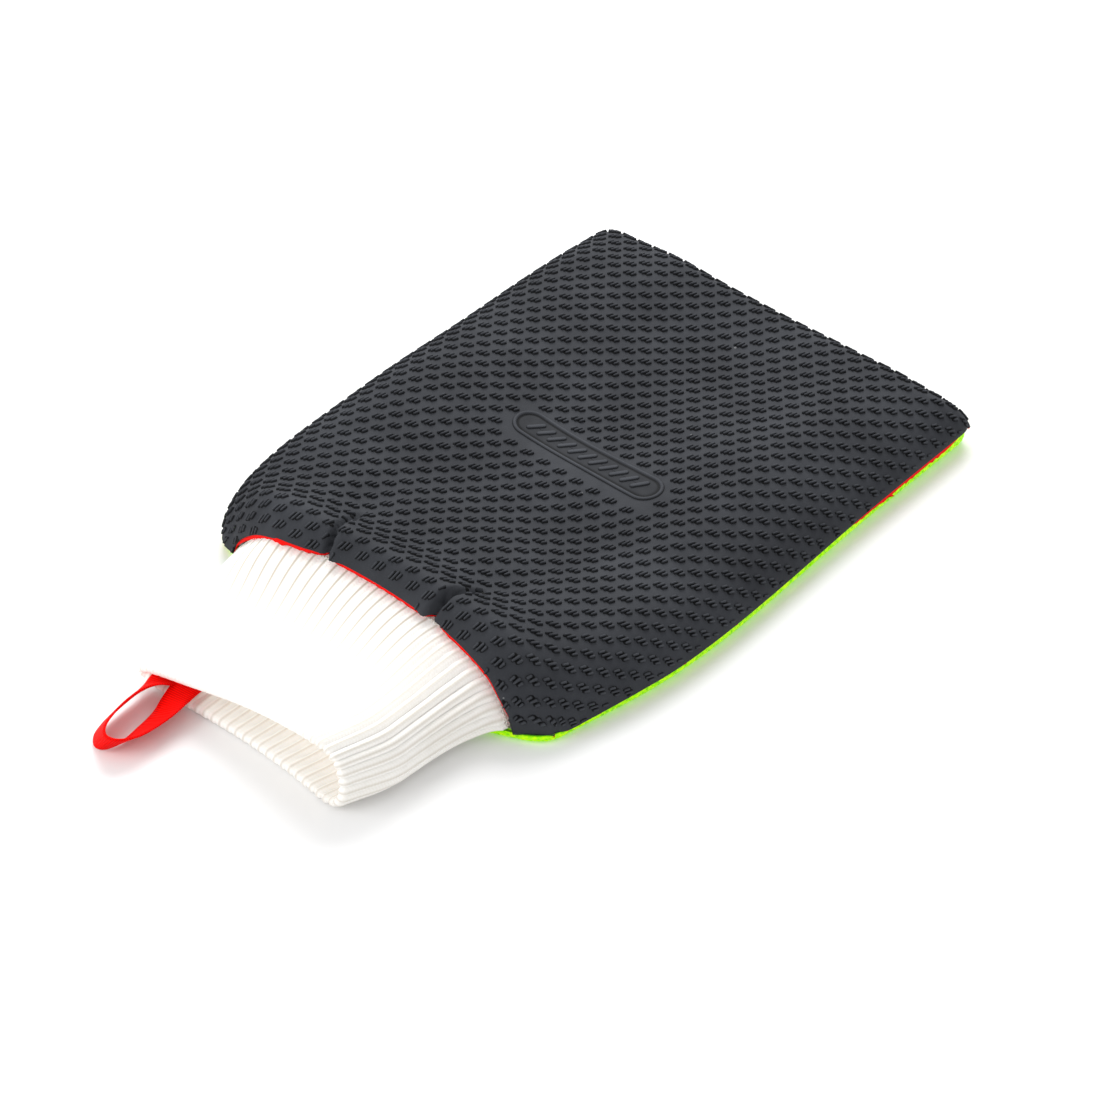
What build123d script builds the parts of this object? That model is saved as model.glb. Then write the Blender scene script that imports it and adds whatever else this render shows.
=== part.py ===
from build123d import *
import os

os.makedirs("parts", exist_ok=True)

# A padded wash mitt lying on its mesh face, millimetres.
# +Y points to the fingertips, +Z is up, and the origin is under the middle of the whole mitt.

# Driving dimensions of the body
body_length = 209.0          # mouth seam to tip
tip_width = 165.0
shoulder_width = 152.0       # where the sides start to curve in towards the mouth
mouth_width = 122.0
shoulder_from_mouth = 24.0
straight_from_mouth = 80.0   # the sides run parallel from here to the tip
mouth_height = 30.0
tip_height = 15.0
tip_corner_radius = 14.0
shoulder_radius = 45.0
side_radius = 250.0
top_edge_radius = 9.0
bottom_edge_radius = 4.0

# Layers, from the outer surface inwards
skin_thickness = 2.0
cloth_thickness = 0.8
front_foam_thickness = 4.0
lining_thickness = 0.4
mesh_thickness = 3.0
back_foam_thickness = 1.5

# Cuff
cuff_length = 54.0           # from the mouth seam to the folded lip
cuff_wall = 3.5              # two layers of rib knit
cuff_mouth_left = -57.0
cuff_mouth_right = 57.0
cuff_mouth_height = 25.0
cuff_lip_left = -40.5
cuff_lip_right = 47.5
cuff_lip_height_left = 9.0
cuff_lip_height_right = 23.0
cuff_mouth_radius = 8.0
cuff_lip_radius = 4.0

# Threads
stitch_width = 1.2
mouth_stitch_length = 1.0
tack_length = 6.0
tack_height = 0.8
pleat_left_x = -19.0
pleat_right_x = 22.0
tack_from_mouth = 2.0

# Hang loop, a ribbon sewn inside the cuff's lip
loop_x = -27.0
loop_reach = 35.0            # from the lip to the end of the bend
loop_width = 16.0            # across both legs
ribbon_width = 8.0           # the height of the ribbon where it stands on edge
ribbon_thickness = 1.0
loop_flat_length = 8.0       # stretch beside the lip where the ribbon still lies flat
sewn_length = 12.0
sewn_width = 17.0
hinge_gap = 0.6              # clearance on each side of the line where the ribbon bends

# Derived places
total_length = body_length + cuff_length + loop_reach
tip_y = total_length / 2
mouth_y = tip_y - body_length
lip_y = mouth_y - cuff_length
cuff_start_y = mouth_y - mouth_stitch_length
overrun = 20.0               # closed inner shapes run this far past the mouth
front_depths = [0.0, skin_thickness]
front_depths.append(front_depths[-1] + cloth_thickness)
front_depths.append(front_depths[-1] + front_foam_thickness)
front_depths.append(front_depths[-1] + lining_thickness)
back_depths = [0.0, mesh_thickness]
back_depths.append(back_depths[-1] + back_foam_thickness)
back_depths.append(back_depths[-1] + lining_thickness)
seam_z = back_depths[-1]
lining_inside = front_depths[-1]


def top_z(y, depth):
    """Height of the sloping top, `depth` under the outer surface."""
    slope = (mouth_height - tip_height) / body_length
    return mouth_height - slope * (y - mouth_y) - depth


def corners_at(plan, y):
    """The two corners of the plan outline at y."""
    return plan.vertices().filter_by_position(Axis.Y, y - 1, y + 1)


def pillow(depth, floor_z, bottom_radius):
    """The body's closed shape `depth` under its outer surface, running past the mouth."""
    start_y = mouth_y - overrun
    side = [
        (mouth_width / 2, start_y),
        (mouth_width / 2, mouth_y),
        (shoulder_width / 2, mouth_y + shoulder_from_mouth),
        (tip_width / 2, mouth_y + straight_from_mouth),
        (tip_width / 2, tip_y),
    ]
    other_side = [(-x, y) for x, y in reversed(side)]
    profile = [
        (start_y, floor_z),
        (tip_y, floor_z),
        (tip_y, top_z(tip_y, depth)),
        (start_y, top_z(start_y, depth)),
    ]
    with BuildPart() as shape:
        with BuildSketch(Plane.XY) as plan:
            with BuildLine():
                Polyline(*side, *other_side, close=True)
            make_face()
            fillet(plan.vertices().group_by(Axis.Y)[-1], tip_corner_radius)
            fillet(corners_at(plan, mouth_y + shoulder_from_mouth), shoulder_radius)
            fillet(corners_at(plan, mouth_y + straight_from_mouth), side_radius)
            if depth > 0:
                offset(amount=-depth)
        extrude(amount=2 * mouth_height)
        with BuildSketch(Plane.YZ):
            with BuildLine():
                Polyline(*profile, close=True)
            make_face()
        extrude(amount=tip_width, both=True, mode=Mode.INTERSECT)
        walls = shape.faces().filter_by(Axis.Y).sort_by(Axis.Y)
        open_end = walls[0].edges()
        rims = shape.faces().sort_by(Axis.Z)
        top_rim = ShapeList([e for e in rims[-1].edges() if e not in open_end])
        bottom_rim = ShapeList([e for e in rims[0].edges() if e not in open_end])
        if depth < top_edge_radius:
            fillet(top_rim, top_edge_radius - depth)
        if bottom_radius > 0:
            fillet(bottom_rim, bottom_radius)
    return shape.part


seam_plane = Plane.XY.offset(seam_z)
mouth_plane = Plane.XZ.offset(-mouth_y)      # its normal points out of the mouth
front_shapes = [pillow(depth, 0, 0) for depth in front_depths]
back_shapes = [pillow(depth, depth, max(bottom_edge_radius - depth, 0)) for depth in back_depths]
finished = []


def finish(name, label):
    """Label a piece and write its file."""
    name.part.label = label
    export_step(name.part, "parts/" + label + ".step")
    finished.append(name.part)


def layer(label, shapes, index, keep):
    """One layer of the body: between two nested shapes, on one side of the seam, cut at the mouth."""
    with BuildPart() as piece:
        add(shapes[index])
        add(shapes[index + 1], mode=Mode.SUBTRACT)
        split(bisect_by=seam_plane, keep=keep)
        split(bisect_by=mouth_plane, keep=Keep.BOTTOM)
    finish(piece, label)


# Front face, from the outside in
layer("rubber_skin", front_shapes, 0, Keep.TOP)
layer("backing_cloth", front_shapes, 1, Keep.TOP)
layer("front_foam", front_shapes, 2, Keep.TOP)
layer("front_lining", front_shapes, 3, Keep.TOP)

# Back face, from the outside in
layer("back_mesh", back_shapes, 0, Keep.BOTTOM)
layer("back_foam", back_shapes, 1, Keep.BOTTOM)
layer("back_lining", back_shapes, 2, Keep.BOTTOM)

# Overlock thread round the sides and the tip, inside the pocket on the seam
stitch_core = pillow(lining_inside + stitch_width, 0, 0)
with BuildPart() as edge_stitch:
    add(front_shapes[-1])
    add(stitch_core, mode=Mode.SUBTRACT)
    split(bisect_by=seam_plane, keep=Keep.TOP)
    split(bisect_by=Plane.XY.offset(seam_z + tack_height), keep=Keep.BOTTOM)
    split(bisect_by=mouth_plane, keep=Keep.BOTTOM)
finish(edge_stitch, "edge_stitch")

# Tacks that hold the two pleats, against the lining under the front face
for label, pleat_x in (("pleat_tack_left", pleat_left_x), ("pleat_tack_right", pleat_right_x)):
    tack_low_y = mouth_y + tack_from_mouth
    tack_high_y = tack_low_y + tack_length
    tack_profile = [
        (tack_low_y, top_z(tack_low_y, lining_inside)),
        (tack_high_y, top_z(tack_high_y, lining_inside)),
        (tack_high_y, top_z(tack_high_y, lining_inside + tack_height)),
        (tack_low_y, top_z(tack_low_y, lining_inside + tack_height)),
    ]
    with BuildPart() as pleat_tack:
        with BuildSketch(Plane.YZ.offset(pleat_x)):
            with BuildLine():
                Polyline(*tack_profile, close=True)
            make_face()
        extrude(amount=stitch_width / 2, both=True)
    finish(pleat_tack, label)


def cuff_section(y, inset):
    """The cuff's outline at y, shrunk by inset: low at the left, taller at the right."""
    share = (mouth_y - y) / cuff_length
    left = cuff_mouth_left + share * (cuff_lip_left - cuff_mouth_left)
    right = cuff_mouth_right + share * (cuff_lip_right - cuff_mouth_right)
    left_top = cuff_mouth_height + share * (cuff_lip_height_left - cuff_mouth_height)
    right_top = cuff_mouth_height + share * (cuff_lip_height_right - cuff_mouth_height)
    radius = cuff_mouth_radius + share * (cuff_lip_radius - cuff_mouth_radius)
    with BuildSketch(Plane.XZ.offset(-y)) as outline:
        with BuildLine():
            Polyline((left, 0), (right, 0), (right, right_top), (left, left_top), close=True)
        make_face()
        fillet(outline.vertices(), radius)
        if inset > 0:
            offset(amount=-inset)
    return outline.sketch


# Thread ring of the mouth seam, between the body's layers and the cuff
with BuildPart() as mouth_stitch:
    with BuildSketch(mouth_plane):
        add(Plane.XZ.to_local_coords(cuff_section(mouth_y, 0)))
        add(Plane.XZ.to_local_coords(cuff_section(mouth_y, cuff_wall)), mode=Mode.SUBTRACT)
    extrude(amount=mouth_stitch_length)
finish(mouth_stitch, "mouth_stitch")

# Cuff tube, and the thread that closes the knit along the tube's left edge
cuff_outside = loft([cuff_section(cuff_start_y, 0), cuff_section(lip_y, 0)])
cuff_inside = loft([cuff_section(cuff_start_y, cuff_wall), cuff_section(lip_y, cuff_wall)])
closing_z = cuff_lip_height_left / 2
closing_x = (cuff_mouth_left + cuff_lip_left) / 2
closing_box = Pos(closing_x, (cuff_start_y + lip_y) / 2, closing_z) * Box(
    cuff_lip_left - cuff_mouth_left + 2 * cuff_wall, cuff_length, tack_height
)
with BuildPart() as cuff_closing_stitch:
    add(cuff_outside)
    add(cuff_inside, mode=Mode.SUBTRACT)
    add(closing_box, mode=Mode.INTERSECT)
finish(cuff_closing_stitch, "cuff_closing_stitch")

with BuildPart() as rib_cuff:
    add(cuff_outside)
    add(cuff_inside, mode=Mode.SUBTRACT)
    add(cuff_closing_stitch.part, mode=Mode.SUBTRACT)
finish(rib_cuff, "rib_cuff")

# Sewn ends of the ribbon, flat on the cuff's lower inner face, and their bar tack
ribbon_z = cuff_wall
with BuildPart() as loop_ends:
    with BuildSketch(Plane.XY.offset(ribbon_z)):
        with Locations((loop_x, lip_y + hinge_gap)):
            Rectangle(sewn_width, sewn_length, align=(Align.CENTER, Align.MIN))
    extrude(amount=ribbon_thickness)
finish(loop_ends, "loop_ends")

with BuildPart() as loop_tack:
    with BuildSketch(Plane.XY.offset(ribbon_z + ribbon_thickness)):
        with Locations((loop_x, lip_y + sewn_length / 2)):
            Rectangle(sewn_width - 2 * stitch_width, 2 * stitch_width)
    extrude(amount=tack_height)
finish(loop_tack, "loop_tack")

# The free loop: flat beside the lip, then a ring of ribbon that stands on its edge
ring_y = lip_y - loop_flat_length
bend_y = lip_y - loop_reach + loop_width / 2
with BuildPart() as hang_loop:
    with BuildSketch(Plane.XY) as ring:
        with BuildLine():
            Polyline(
                (loop_x - loop_width / 2, bend_y),
                (loop_x - loop_width / 2, ring_y),
                (loop_x + loop_width / 2, ring_y),
                (loop_x + loop_width / 2, bend_y),
            )
            ThreePointArc(
                (loop_x + loop_width / 2, bend_y),
                (loop_x, lip_y - loop_reach),
                (loop_x - loop_width / 2, bend_y),
            )
        make_face()
        offset(amount=-ribbon_thickness, mode=Mode.SUBTRACT)
    extrude(amount=ribbon_width)
    with BuildSketch(Plane.XY.offset(ribbon_z)):
        with Locations((loop_x, lip_y - hinge_gap)):
            Rectangle(loop_width, loop_flat_length, align=(Align.CENTER, Align.MAX))
    extrude(amount=ribbon_thickness)
finish(hang_loop, "hang_loop")

mitt = Compound(children=finished)
size = mitt.bounding_box()
print("low corner", size.min, "high corner", size.max)
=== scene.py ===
"""A padded wash mitt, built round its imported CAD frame.

Shapes are worked out in millimetres and made in metres. x runs across the mitt, y to the
fingertips, z up, and t is the distance from the mouth of the body towards the fingertips.
"""
import math

import bpy
import numpy as np
from mathutils import Matrix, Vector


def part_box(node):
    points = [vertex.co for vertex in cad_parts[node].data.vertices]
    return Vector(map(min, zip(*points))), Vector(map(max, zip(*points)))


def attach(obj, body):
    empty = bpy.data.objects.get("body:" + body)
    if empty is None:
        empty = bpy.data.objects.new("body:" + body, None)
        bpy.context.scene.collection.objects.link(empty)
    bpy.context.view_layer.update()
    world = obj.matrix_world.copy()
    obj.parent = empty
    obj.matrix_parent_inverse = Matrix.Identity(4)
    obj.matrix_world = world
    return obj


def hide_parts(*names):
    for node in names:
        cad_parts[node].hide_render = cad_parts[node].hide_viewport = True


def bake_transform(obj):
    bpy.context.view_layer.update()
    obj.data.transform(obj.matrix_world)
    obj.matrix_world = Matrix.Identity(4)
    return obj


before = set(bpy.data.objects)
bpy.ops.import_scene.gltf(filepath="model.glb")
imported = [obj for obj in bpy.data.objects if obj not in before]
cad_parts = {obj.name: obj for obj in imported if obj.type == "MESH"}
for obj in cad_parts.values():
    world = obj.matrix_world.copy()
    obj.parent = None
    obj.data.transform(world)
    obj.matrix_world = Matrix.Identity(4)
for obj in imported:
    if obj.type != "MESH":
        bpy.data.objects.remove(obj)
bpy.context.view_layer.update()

MM = 0.001


def box_mm(node):
    """Lowest and highest corner of a CAD node, in millimetres."""
    low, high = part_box(node)
    return np.array(low) / MM, np.array(high) / MM


skin_low, skin_high = box_mm("rubber_skin")
cuff_low, _ = box_mm("rib_cuff")
loop_low, loop_high = box_mm("hang_loop")

MOUTH_Y = skin_low[1]
TIP_PROUD = 1.5                            # the stuffed tip stands a little proud of the CAD box
LENGTH = skin_high[1] - MOUTH_Y + TIP_PROUD
CENTRE_T = LENGTH * 0.5
HALF_WIDTH = skin_high[0]
SEAM_Z = skin_low[2]
LIP_T = cuff_low[1] - MOUTH_Y              # the cuff's folded lip, below zero
LOOP_X = (loop_low[0] + loop_high[0]) / 2

# Body outline and rolls
MOUTH_SEAM_Z = 25.0
SIDE_ROLL = 19.0
RIGHT_ROLL = 30.0
TIP_ROLL = 13.0
MOUTH_ROLL = 14.0

# Layers under the rubber
CLOTH_DEPTH = 1.7
FOAM_DEPTH = 2.4
FOAM_THICKNESS = 3.2
LINING_DEPTH = 6.6

# Raised marks, three slanted bars each, in a staggered field
MARK_PITCH_X = 7.0
MARK_PITCH_Y = 8.4
BARS = (
    # offset along x and y, length
    (-1.4, -0.35, 2.2),
    (0.0, 0.1, 3.0),
    (1.4, 0.3, 2.0),
)
BAR_WIDTH = 0.75
BAR_SLANT = math.radians(-20)
BAR_HEIGHT = 0.85
MARK_SHADOW_PLATE = (3.0, 1.7, 0.1)               # length, width and height of the dark plate of painted shadow under a mark's bars

# Plaque
PLAQUE_X, PLAQUE_T = 5.0, 101.0
PLAQUE_LENGTH, PLAQUE_WIDTH = 60.0, 12.0
PLAQUE_BAR_PITCH = 4.4
PLAQUE_BAR_LENGTH, PLAQUE_BAR_WIDTH, PLAQUE_BAR_HEIGHT = 6.6, 1.5, 0.75
PLAQUE_BAR_SLANT = math.radians(-35)

# Cuff
CUFF_WALL = 3.2
RIB_COUNT = 60
RIB_SAMPLES = 10
RIB_DEPTH = 1.2

# Ribbon
RIBBON_WIDTH = 10.0
RIBBON_THICKNESS = 0.7

# Pitches of the fine textures, in metres
KNIT_STITCH = 0.00095
GROSGRAIN_RIB = 0.00075

THREAD_RADIUS = 0.22


# ---------------------------------------------------------------- small helpers

def smooth(value, low, high):
    """0 below low, 1 above high, eased between."""
    share = np.clip((value - low) / (high - low), 0, 1)
    return share * share * (3 - 2 * share)


def bump(value, centre, width):
    return np.exp(-((value - centre) / width) ** 2)


def run_along(steps):
    """Distance from the start at each point, from the lengths of the steps between them."""
    return np.concatenate([[0], np.cumsum(steps)])


def unit(vectors):
    return vectors / np.maximum(np.linalg.norm(vectors, axis=-1, keepdims=True), 1e-9)


def make_mesh(name, points, faces, material, uv=None, smooth_shading=True, relief=None):
    """A mesh object from points in millimetres; relief is a value per point for its material."""
    mesh = bpy.data.meshes.new(name)
    mesh.from_pydata((np.asarray(points) * MM).tolist(), [], [list(map(int, f)) for f in faces])
    mesh.materials.append(material)
    if uv is not None:
        layer = mesh.uv_layers.new(name="UVMap")
        corners = np.empty(len(mesh.loops), dtype=np.int32)
        mesh.loops.foreach_get("vertex_index", corners)
        layer.data.foreach_set("uv", np.asarray(uv)[corners].astype(np.float32).ravel())
    if relief is not None:
        values = mesh.attributes.new("relief", "FLOAT", "POINT")
        values.data.foreach_set("value", np.asarray(relief, dtype=np.float32))
    mesh.polygons.foreach_set("use_smooth", [smooth_shading] * len(mesh.polygons))
    mesh.update()
    mesh.validate()
    piece = bpy.data.objects.new(name, mesh)
    bpy.context.collection.objects.link(piece)
    return piece


def grid_faces(rows, columns, wrap=False, first=0):
    """Quads of a grid of points stored row by row; wrap joins the last column to the first."""
    across = columns if wrap else columns - 1
    i, j = np.meshgrid(np.arange(rows - 1), np.arange(across), indexing="ij")
    k = (j + 1) % columns
    quads = np.stack([i * columns + j, i * columns + k, (i + 1) * columns + k, (i + 1) * columns + j], -1)
    return quads.reshape(-1, 4) + first


# ---------------------------------------------------------------- shape of the body

def half_width(x, t):
    """Half width of the outline on x's side: both sides narrow to the mouth, each its own way."""
    left = HALF_WIDTH - 0.5 - 21.0 * np.exp(-t / 17)
    past = np.maximum(t, 0)
    right = HALF_WIDTH - 10.0 * np.exp(-(past / 40) ** 2) - 2.5 * np.exp(-past / 12)
    right += 0.21 * np.minimum(t, 0)
    right -= 2.2 * smooth(t, 70, 160)
    return np.where(x < 0, left, right)


def side_distance(x, t):
    """Distance from x, t in to the nearest place on its side of the outline, below 0 outside it."""
    foot, across = np.array(t, dtype=float), np.abs(x)
    for _ in range(4):
        before, here, after = (half_width(x, foot + d) for d in (-0.5, 0.0, 0.5))
        slope, bend = after - before, 4 * (after + before - 2 * here)
        turn = 1 + slope ** 2 + (here - across) * bend
        foot = foot - ((here - across) * slope + foot - t) / np.maximum(turn, 0.4)
    slope = half_width(x, foot + 0.5) - half_width(x, foot - 0.5)
    return (half_width(x, foot) - across + (t - foot) * slope) / np.sqrt(1 + slope ** 2)


def mouth_line(x):
    """t of the mouth seam across the front face."""
    line = 6.8 - 7.2 * ((x - 2) / 56) ** 2 - 1.2 * bump(x, -33, 12) + 2.4 * bump(x, -53, 10)
    line += 1.2 * bump(x, 54, 7)
    return line + 8.5 * smooth(x, 54, 74) + 4.0 * smooth(-x, 50, 66)


def side_seam(x, t):
    """Height of the rubber's edge along the sides and the tip."""
    low_corner = 2.4 * smooth(np.abs(x), 30, 58) * bump(t, 0, 34)
    return SEAM_Z - low_corner + 1.5 * smooth(x, 40, 80) * smooth(t, 110, 195)


def mouth_height(x):
    """Height of the mouth seam across the front face."""
    rise = np.clip(1 - np.abs(x / 61) ** 6, 0, 1) ** 0.6
    edge = side_seam(x, 0.0)
    return edge + (MOUTH_SEAM_Z - edge) * rise


PLEATS = (
    # x at the seam, drift of x per t, length along t, which side laps over
    (-18.0, -0.33, 27.0, 1.0),
    (24.0, 0.16, 25.0, -1.0),
)


def beside_pleat(x, t, seam_x, drift):
    """How far x lies to the right of a pleat's line."""
    return x - seam_x - drift * (t - 4)


def pleat_cut(x, t):
    """How far the two pleats that gather the mouth pull the surface in, and the lap beside each."""
    total = np.zeros_like(x)
    for seam_x, drift, length, lap in PLEATS:
        along = np.clip(1 - (t - 3) / length, 0, 1) * smooth(t, -12, 2)
        side = beside_pleat(x, t, seam_x, drift) * lap
        deep = 2.4 + 4.4 * smooth(t, 3, 10)
        total -= deep * along ** 0.5 * np.exp(-(np.where(side > 0, side / 0.75, side / 1.25)) ** 2)
        total += 1.0 * along * bump(side, 2.6, 2.2) - 0.5 * along * bump(side, -4.0, 3.0)
    return total


def pleat_room(x, t):
    """Extra depth that keeps the coarser layers below the sharp bottom of each pleat."""
    total = np.zeros_like(x)
    for seam_x, drift, length, _ in PLEATS:
        along = np.clip(1 - (t - 3) / (length + 4), 0, 1) * smooth(t, 4, 8)
        total += 3.4 * along ** 0.5 * bump(beside_pleat(x, t, seam_x, drift), 0, 4.0)
    return total


def crown(x, t):
    """Height of the front face away from its seams."""
    middle = 1 - 0.85 * smooth(np.abs(x), 38, 74)
    height = 19.5 + 7.5 * np.exp(-(np.clip(t, 0, None) / 46) ** 2) * middle
    height += 5.5 * bump(t, 13, 9) * np.clip(1 - (np.abs(x) / 66) ** 4, 0, 1)
    height += 5.2 * bump(x, -56, 27) * smooth(t, 30, 95) * (1 - 0.8 * smooth(t, 178, 208))
    height += 1.6 * bump(x, -42, 14) * smooth(t, 165, 195)
    height -= 2.2 * bump(x, 2, 25) * smooth(t, 85, 135) * (1 - 0.8 * smooth(t, 168, 205))
    height -= 3.4 * bump(x, 27, 22) * bump(t, 71, 19)
    height += 1.6 * bump(x, 51, 13) * smooth(t, 60, 90)
    height -= 2.6 * smooth(x, 20, 60) * smooth(t, 140, 205)
    height -= 1.4 * bump(t, 33, 7) * bump(x, 10, 45)
    for seam_x, drift, _, _ in PLEATS:
        height -= 1.4 * bump(x, seam_x + drift * t, 8) * bump(t, 36, 17)
    height += 0.5 * np.sin(x / 17 + t / 23) * np.sin(t / 15 - x / 29)
    return height


def closeness(x, t):
    """0 where the front face lies open, 1 on its seam line, above 1 outside it.

    Also the share of it that comes from the mouth."""
    right = smooth(x, 0, 40) * smooth(t, 40, 80) * (1 - 0.75 * smooth(t, 165, 205))
    side_roll = SIDE_ROLL + (RIGHT_ROLL - SIDE_ROLL) * right
    power = 2.6 + 1.6 * smooth(t, 40, 140)
    power += 1.6 * smooth(x, 30, 60) * smooth(t, 165, 198)
    by_side = np.clip(1 - side_distance(x, t) / side_roll, 0, None) ** power
    by_tip = np.clip(1 - (LENGTH - t) / TIP_ROLL, 0, None) ** power
    tilt = mouth_line(x + 0.5) - mouth_line(x - 0.5)
    from_mouth = (t - mouth_line(x)) / np.sqrt(1 + tilt ** 2)
    by_mouth = np.clip(1 - from_mouth / MOUTH_ROLL, 0, None) ** power
    total = by_side + by_tip + by_mouth
    return total ** (1 / power), by_mouth / np.maximum(total, 1e-9)


def arc_tables():
    """For a quarter ellipse of height k and width 1: its length, and the angle at each share of it."""
    ratios = np.linspace(0.05, 3.0, 60)
    angles = np.linspace(0, math.pi / 2, 240)
    shares = np.linspace(0, 1, 120)
    lengths, turns = [], []
    for k in ratios:
        speed = np.sqrt(np.sin(angles) ** 2 + (k * np.cos(angles)) ** 2)
        run = run_along((speed[1:] + speed[:-1]) / 2 * np.diff(angles))
        lengths.append(run[-1])
        turns.append(np.interp(shares, run / run[-1], angles))
    return ratios, np.array(lengths), np.array(turns)


ARC_RATIOS, ARC_LENGTHS, ARC_TURNS = arc_tables()


def arc_angle(ratio, share):
    """Angle of the quarter ellipse at a share of its length, for arrays of ratio and share."""
    row = np.clip(np.interp(ratio, ARC_RATIOS, np.arange(len(ARC_RATIOS))), 0, len(ARC_RATIOS) - 1.001)
    column = np.clip(share, 0, 1) * (ARC_TURNS.shape[1] - 1.001)
    i, j = row.astype(int), column.astype(int)
    u, v = row - i, column - j
    low = ARC_TURNS[i, j] * (1 - v) + ARC_TURNS[i, j + 1] * v
    high = ARC_TURNS[i + 1, j] * (1 - v) + ARC_TURNS[i + 1, j + 1] * v
    return low * (1 - u) + high * u


def drape(a, b):
    """Where the front cloth's flat point (a, b) lies: x, t, z, and how far inside the cut line it is.

    The open middle lies straight above its flat place. Towards the seams the cloth rolls down a
    quarter ellipse without stretching, so its flat shape is larger than the outline it covers."""
    near, mouth_share = closeness(a, b)
    step = 0.05
    grad_a = (closeness(a + step, b)[0] - closeness(a - step, b)[0]) / (2 * step)
    grad_b = (closeness(a, b + step)[0] - closeness(a, b - step)[0]) / (2 * step)
    steep = np.sqrt(grad_a ** 2 + grad_b ** 2)
    flat = steep < 1e-6
    steep = np.where(flat, 1.0, steep)
    in_a, in_b = -grad_a / steep, -grad_b / steep
    roll = np.where(flat, SIDE_ROLL, np.clip(1 / steep, 5.0, 60.0))
    x, t = a, b
    for _ in range(2):
        edge = side_seam(x, t)
        seam = edge + (mouth_height(x) - edge) * mouth_share
        rise = np.maximum(crown(x, t) - seam, 2.0)
        ratio = rise / roll
        length = np.interp(ratio, ARC_RATIOS, ARC_LENGTHS) * roll
        inside = np.where(flat, 99.0, (1 - near) * roll + length - roll)
        angle = arc_angle(ratio, inside / length)
        shift = np.where(flat, 0.0, roll * (1 - np.cos(angle)) - (1 - near) * roll)
        x, t = a + in_a * shift, b + in_b * shift
    top = np.where(flat, crown(x, t), seam + (crown(x, t) - seam) * np.sin(angle))
    z = top + np.minimum(inside, 0)
    return x, t, z, inside


def front_points(a, b, lift=0.0):
    """Points of the front cloth, lifted along its outward normal, in the mitt's frame."""
    step = 0.2
    here = np.stack(drape(a, b)[:3], -1)
    along_a = np.stack(drape(a + step, b)[:3], -1) - np.stack(drape(a - step, b)[:3], -1)
    along_b = np.stack(drape(a, b + step)[:3], -1) - np.stack(drape(a, b - step)[:3], -1)
    normal = unit(np.cross(along_a, along_b))
    lift = lift + pleat_cut(here[:, 0], here[:, 1])
    points = here + normal * np.reshape(lift, (-1, 1))
    points[:, 1] += MOUTH_Y
    return points


def cut_panel(step, edge):
    """Flat points and quads of the front panel, its outer points moved onto the cut line.

    edge says how far outside the rubber's own cut line the panel ends."""
    a = np.arange(-HALF_WIDTH - 24, HALF_WIDTH + 24 + step, step)
    b = np.arange(-28, LENGTH + 24 + step, step)
    grid_a, grid_b = (g.ravel() for g in np.meshgrid(a, b))

    def inside(a, b):
        return drape(a, b)[3] + edge(a, b)

    kept = inside(grid_a, grid_b) > 0
    block = kept.reshape(len(b), len(a))
    wide = np.zeros_like(block)
    for i in (-1, 0, 1):
        for j in (-1, 0, 1):
            wide |= np.roll(np.roll(block, i, 0), j, 1)
    rim = wide.ravel() & ~kept
    for _ in range(4):
        value = inside(grid_a[rim], grid_b[rim])
        slope_a = (inside(grid_a[rim] + 0.1, grid_b[rim]) - value) / 0.1
        slope_b = (inside(grid_a[rim], grid_b[rim] + 0.1) - value) / 0.1
        size = np.maximum(slope_a ** 2 + slope_b ** 2, 0.25)
        grid_a[rim] -= np.clip(value * slope_a / size, -0.6 * step, 0.6 * step)
        grid_b[rim] -= np.clip(value * slope_b / size, -0.6 * step, 0.6 * step)
    quads = grid_faces(len(b), len(a))
    used = kept | rim
    quads = quads[used[quads].all(axis=1) & kept[quads].any(axis=1)]
    names = np.unique(quads)
    index = np.zeros(len(used), dtype=int)
    index[names] = np.arange(len(names))
    return grid_a[names], grid_b[names], index[quads]


def open_edges(quads):
    """Edges that belong to one face only, each in its face's direction."""
    edges = np.concatenate([quads[:, [k, (k + 1) % 4]] for k in range(4)])
    key = np.sort(edges, axis=1)
    _, first, count = np.unique(key, axis=0, return_index=True, return_counts=True)
    return edges[first[count == 1]]


def rim_strip(edges, inner_first):
    """Quads that hang a second row of rim points, numbered from inner_first, from open edges."""
    names = np.unique(edges)
    index = {int(n): inner_first + k for k, n in enumerate(names)}
    quads = [[int(b), int(a), index[int(a)], index[int(b)]] for a, b in edges]
    return names, quads


# ---------------------------------------------------------------- materials

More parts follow.
